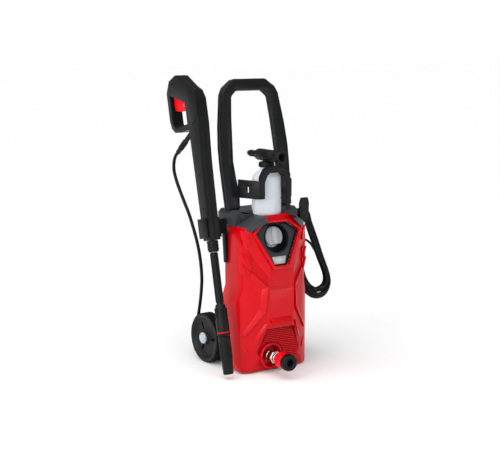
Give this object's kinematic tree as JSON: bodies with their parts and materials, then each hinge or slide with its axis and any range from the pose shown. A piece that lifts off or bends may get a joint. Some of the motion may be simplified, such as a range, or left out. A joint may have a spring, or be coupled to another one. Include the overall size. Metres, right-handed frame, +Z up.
{
  "type": "pressure washer",
  "caption": "Upright electric pressure washer on two wheels with hoop handle, trigger gun and lance, foam bottle, high-pressure hose and mains lead.",
  "frame": {"origin": "middle of the footprint of the machine and gun, without the loose hose and lead, on the ground", "axes": "+Z up, -Y the front with the water inlet and control panel, +X to the right of someone facing the front"},
  "size_m": [0.441, 0.4661, 0.8146],
  "materials": {
    "red_shell": "moulded ABS, satin gloss",
    "black_shell": "moulded polypropylene, fine spark texture",
    "handle_black": "moulded polypropylene, satin",
    "panel_grey": "moulded ABS, satin",
    "knob_silver": "silver painted ABS",
    "window_smoke": "translucent grey polycarbonate",
    "electric_grey": "moulded nylon",
    "cast_alloy": "as cast",
    "rotor_steel": "ground",
    "brass": "machined",
    "bright_metal": "polished plate",
    "bright_red": "moulded, glossy",
    "connector_black": "moulded with ribs",
    "wheel_black": "moulded polyethylene",
    "hub_grey": "moulded, satin",
    "rubber": "moulded",
    "bottle_milk": "blow-moulded natural polyethylene, translucent",
    "gun_black": "moulded polypropylene, satin",
    "hose_black": "smooth PVC, semi-gloss",
    "cord_black": "PVC sheath, semi-gloss"
  },
  "bodies": {
    "root": {"front_housing": "red_shell", "rear_housing": "black_shell", "base_tray": "black_shell", "top_cap": "black_shell", "gun_holder": "black_shell", "cord_hook": "black_shell", "bottle_bracket": "black_shell", "dial_cup": "black_shell", "handle_front_shell": "handle_black", "handle_rear_shell": "handle_black", "control_panel": "panel_grey", "indicator_window": "window_smoke", "rotary_switch": "electric_grey", "capacitor": "electric_grey", "motor_can": "cast_alloy", "pump_body": "cast_alloy", "bearing_lower": "rotor_steel", "bearing_upper": "rotor_steel", "piston_1": "rotor_steel", "piston_2": "rotor_steel", "piston_3": "rotor_steel", "axle": "rotor_steel", "pump_head": "brass", "outlet_fitting": "brass", "water_inlet": "bright_metal", "inlet_collar": "bright_red", "hose_connector": "connector_black", "front_foot": "rubber", "hose_nut": "hose_black", "hose_run": "hose_black", "hose_coil": "hose_black", "hose_tail": "hose_black", "cord_gland": "cord_black", "cord_lead": "cord_black", "cord_hank": "cord_black", "cord_tail": "cord_black", "plug": "cord_black"},
    "wheel_left": {"wheel_left": "wheel_black", "hub_cap_left": "hub_grey"},
    "wheel_right": {"wheel_right": "wheel_black", "hub_cap_right": "hub_grey"},
    "rotor": {"rotor": "rotor_steel", "cooling_fan": "black_shell", "swash_plate": "rotor_steel"},
    "switch_knob": {"switch_knob": "knob_silver"},
    "gun": {"gun_left_shell": "gun_black", "gun_right_shell": "gun_black", "gun_valve": "brass", "hose_swivel": "gun_black", "lance_collar": "gun_black", "lance_tube": "gun_black", "nozzle_body": "gun_black", "trigger_pin": "rotor_steel"},
    "trigger": {"trigger": "bright_red"},
    "gun_button": {"gun_button": "bright_red"},
    "nozzle_sleeve": {"nozzle_sleeve": "gun_black"},
    "foam_bottle": {"foam_bottle": "bottle_milk", "foam_head": "black_shell", "suction_tube": "bottle_milk"},
    "foam_nozzle": {"foam_nozzle": "black_shell"}
  },
  "joints": [
    {"name": "wheel_left_spin", "type": "hinge", "parent": "root", "child": "wheel_left", "pos_m": [-0.099, 0.0868, 0.071], "axis": [1, 0, 0], "continuous": true},
    {"name": "wheel_right_spin", "type": "hinge", "parent": "root", "child": "wheel_right", "pos_m": [0.126, 0.0868, 0.071], "axis": [1, 0, 0], "continuous": true},
    {"name": "rotor_spin", "type": "hinge", "parent": "root", "child": "rotor", "pos_m": [0.0135, -0.0112, 0.24], "axis": [0, 0, 1], "continuous": true},
    {"name": "switch_turn", "type": "hinge", "parent": "root", "child": "switch_knob", "pos_m": [0.0135, -0.0735, 0.37578], "axis": [0, -0.9711, 0.2385], "range_deg": [0, 90]},
    {"name": "gun_unclip", "type": "slide", "parent": "root", "child": "gun", "axis": [0, -1, 0], "range_m": [0, 0.07]},
    {"name": "trigger_pull", "type": "hinge", "parent": "gun", "child": "trigger", "pos_m": [-0.1465, 0.10561, 0.73311], "axis": [1, 0, 0], "range_deg": [0, 12], "stiffness_Nm_per_rad": 0.5, "springref_deg": -11.46},
    {"name": "button_press", "type": "slide", "parent": "gun", "child": "gun_button", "axis": [0, -0.9762, 0.217], "range_m": [0, 0.003], "stiffness_N_per_m": 400, "springref_m": -0.002},
    {"name": "nozzle_twist", "type": "hinge", "parent": "gun", "child": "nozzle_sleeve", "pos_m": [-0.1465, -0.08118, 0.05857], "axis": [0, 0.217, 0.9762], "range_deg": [0, 90]},
    {"name": "bottle_lift", "type": "slide", "parent": "root", "child": "foam_bottle", "axis": [0, 0, 1], "range_m": [0, 0.12]},
    {"name": "foam_nozzle_twist", "type": "hinge", "parent": "foam_bottle", "child": "foam_nozzle", "pos_m": [0.0135, -0.0932, 0.598], "axis": [0, 1, 0], "range_deg": [0, 90]}
  ]
}
